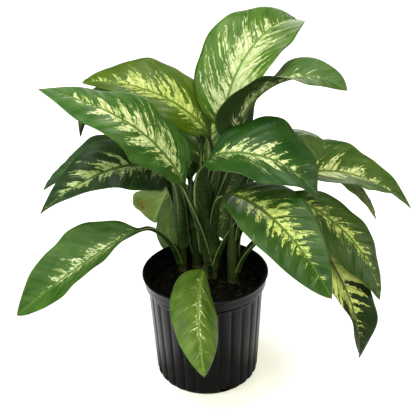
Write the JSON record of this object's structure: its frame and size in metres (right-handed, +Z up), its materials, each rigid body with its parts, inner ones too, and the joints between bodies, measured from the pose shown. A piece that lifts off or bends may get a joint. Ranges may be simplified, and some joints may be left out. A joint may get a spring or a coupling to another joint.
{
  "type": "potted dieffenbachia",
  "caption": "Potted dieffenbachia: broad cream-marked leaves on arching winged stalks round upright canes, in a fluted round black nursery pot filled with potting soil.",
  "frame": {"origin": "centre of the pot's flat underside, where the pot stands", "axes": "+Z up; -Y towards the side seen in the picture; +X to that view's right, along the plant's widest spread"},
  "size_m": [0.747, 0.5982, 0.6665],
  "materials": {
    "pot": "satin near-black moulded plastic",
    "soil": "loose dark brown potting mix with bark",
    "cane": "smooth green stem with tan leaf scars",
    "leaf": "glossy living leaf, green with cream markings"
  },
  "bodies": {
    "root": {"pot": "pot", "soil": "soil", "cane_middle": "cane", "cane_left": "cane", "cane_back": "cane", "cane_right": "cane", "leaf_crown_top": "leaf", "leaf_crown_right": "leaf", "leaf_crown_left": "leaf", "leaf_front_right": "leaf", "leaf_front_left": "leaf", "leaf_front_small": "leaf", "leaf_right_drooping": "leaf", "leaf_right_front": "leaf", "leaf_right_curled": "leaf", "leaf_right_far": "leaf", "leaf_right_under": "leaf", "leaf_right_low": "leaf", "leaf_left_middle": "leaf", "leaf_left_low": "leaf", "leaf_left_arching": "leaf", "leaf_left_upper": "leaf", "leaf_left_yellowing": "leaf", "leaf_left_hanging": "leaf", "leaf_back_top": "leaf", "leaf_back_left": "leaf", "leaf_back_right": "leaf", "leaf_back_low": "leaf", "leaf_back_left_low": "leaf", "leaf_back_right_low": "leaf"}
  },
  "joints": []
}
